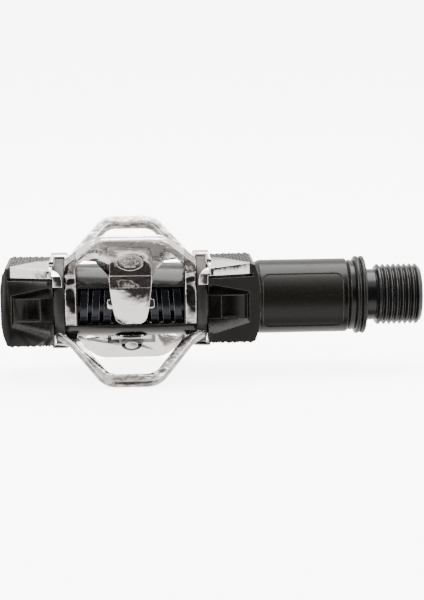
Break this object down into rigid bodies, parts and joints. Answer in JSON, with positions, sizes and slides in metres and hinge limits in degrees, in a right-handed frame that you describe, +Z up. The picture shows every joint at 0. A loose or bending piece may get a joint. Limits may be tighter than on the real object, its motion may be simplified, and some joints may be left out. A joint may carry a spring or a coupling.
{
  "type": "clipless pedal",
  "caption": "Clipless pedal with a sprung four-sided wing mechanism between two knurled body blocks, turning on a spindle with a crank thread.",
  "frame": {"origin": "centre of the bounding box, on the spindle's axis", "axes": "+X along the spindle towards the crank thread, +Z up, square to the pedal's upper face, +Y to the rear, so the front faces -Y"},
  "size_m": [0.098, 0.0354, 0.0354],
  "materials": {
    "black_anodised": "satin",
    "chrome": "polished",
    "barrel_black": "gloss",
    "spring_steel": "satin",
    "spindle_steel": "black satin",
    "bearing_steel": "polished",
    "seal_rubber": "matte",
    "bush_polymer": "matte",
    "bolt_steel": "satin"
  },
  "bodies": {
    "spindle": {"spindle": "spindle_steel", "lock_nut": "bearing_steel", "bearing_inner_ring": "bearing_steel"},
    "pedal_body": {"bearing_outer_ring": "bearing_steel", "bearing_balls": "bearing_steel", "sleeve_bush": "bush_polymer", "core_tube": "spindle_steel", "locating_pegs": "bolt_steel", "spring_barrel": "barrel_black", "body_outboard": "black_anodised", "body_inboard": "black_anodised", "end_cap": "black_anodised", "end_cap_o_ring": "seal_rubber", "inner_seal_ring": "barrel_black", "lip_seal": "seal_rubber", "wear_plate_top_outboard": "chrome", "wear_plate_bottom_outboard": "chrome", "wear_plate_top_inboard": "chrome", "wear_plate_bottom_inboard": "chrome", "upper_wing_front_shell": "chrome", "upper_wing_top_shell": "chrome", "lower_wing_rear_shell": "chrome", "lower_wing_bottom_shell": "chrome", "wing_bolts": "bolt_steel", "wing_nuts": "bolt_steel", "spring_anchors": "chrome", "spring_outboard": "spring_steel", "spring_inboard": "spring_steel"},
    "outer_wing": {"outer_wing": "chrome"}
  },
  "joints": [
    {"name": "pedal_spin", "type": "hinge", "parent": "spindle", "child": "pedal_body", "pos_m": [0, 0, 0], "axis": [1, 0, 0], "continuous": true},
    {"name": "wing_open", "type": "hinge", "parent": "pedal_body", "child": "outer_wing", "pos_m": [-0.0191, 0, 0], "axis": [1, 0, 0], "range_deg": [-15, 15], "stiffness_Nm_per_rad": 1.5, "deforming": ["spring_outboard", "spring_inboard"]}
  ]
}
